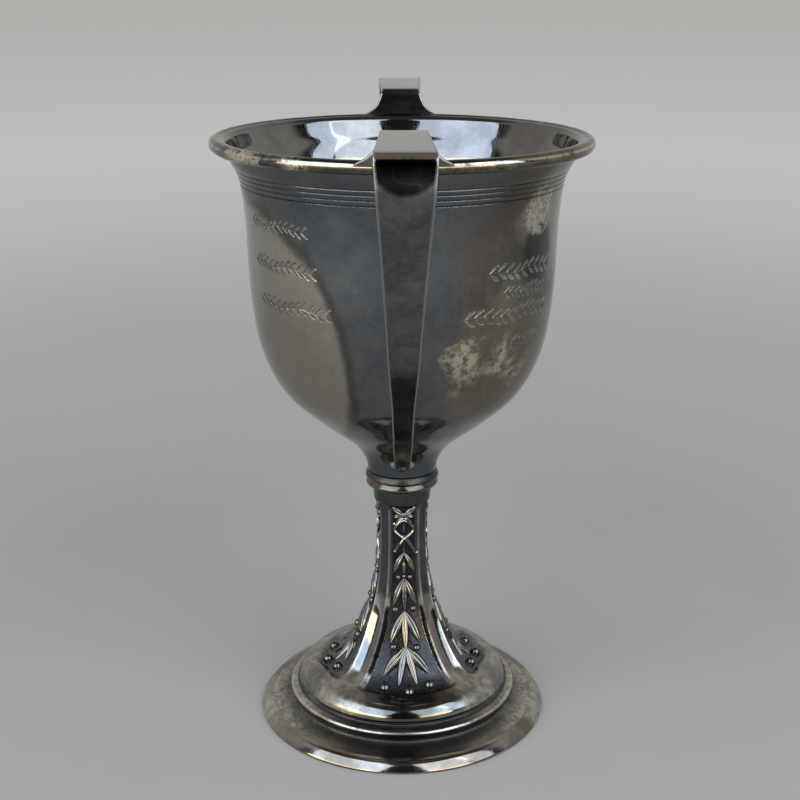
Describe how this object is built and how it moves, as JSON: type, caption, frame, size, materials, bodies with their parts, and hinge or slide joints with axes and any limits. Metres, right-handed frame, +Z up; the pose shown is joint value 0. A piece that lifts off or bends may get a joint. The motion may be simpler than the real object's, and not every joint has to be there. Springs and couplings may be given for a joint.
{
  "type": "cup trophy",
  "caption": "Two-handled presentation cup: flared round bowl with flat strap handles, beaded collar and fluted pedestal foot.",
  "frame": {"origin": "middle of the circle that the foot stands on", "axes": "+Z up through the bowl, handles along +Y and -Y, +X square to the handles"},
  "size_m": [0.12, 0.2112, 0.2064],
  "materials": {
    "bowl_silver": "polished silver plate on brass, dark with tarnish",
    "rim_silver": "silver plate worn through to the brass in specks",
    "handle_silver": "polished silver plate, grey with tarnish, edges rubbed bright",
    "collar_silver": "polished silver plate, worn warm",
    "stem_silver": "struck relief, bright on top and oxidised dark in the ground",
    "foot_silver": "silver plate with a dull warm bloom, polished at the edge",
    "spigot_brass": "turned, unplated"
  },
  "bodies": {
    "root": {"bowl": "bowl_silver", "rim_wire": "rim_silver", "handle_front": "handle_silver", "handle_back": "handle_silver", "collar": "collar_silver", "stem_spigot": "spigot_brass", "stem_sleeve": "stem_silver", "pedestal": "stem_silver", "foot_plate": "foot_silver", "foot_wire": "foot_silver"}
  },
  "joints": []
}
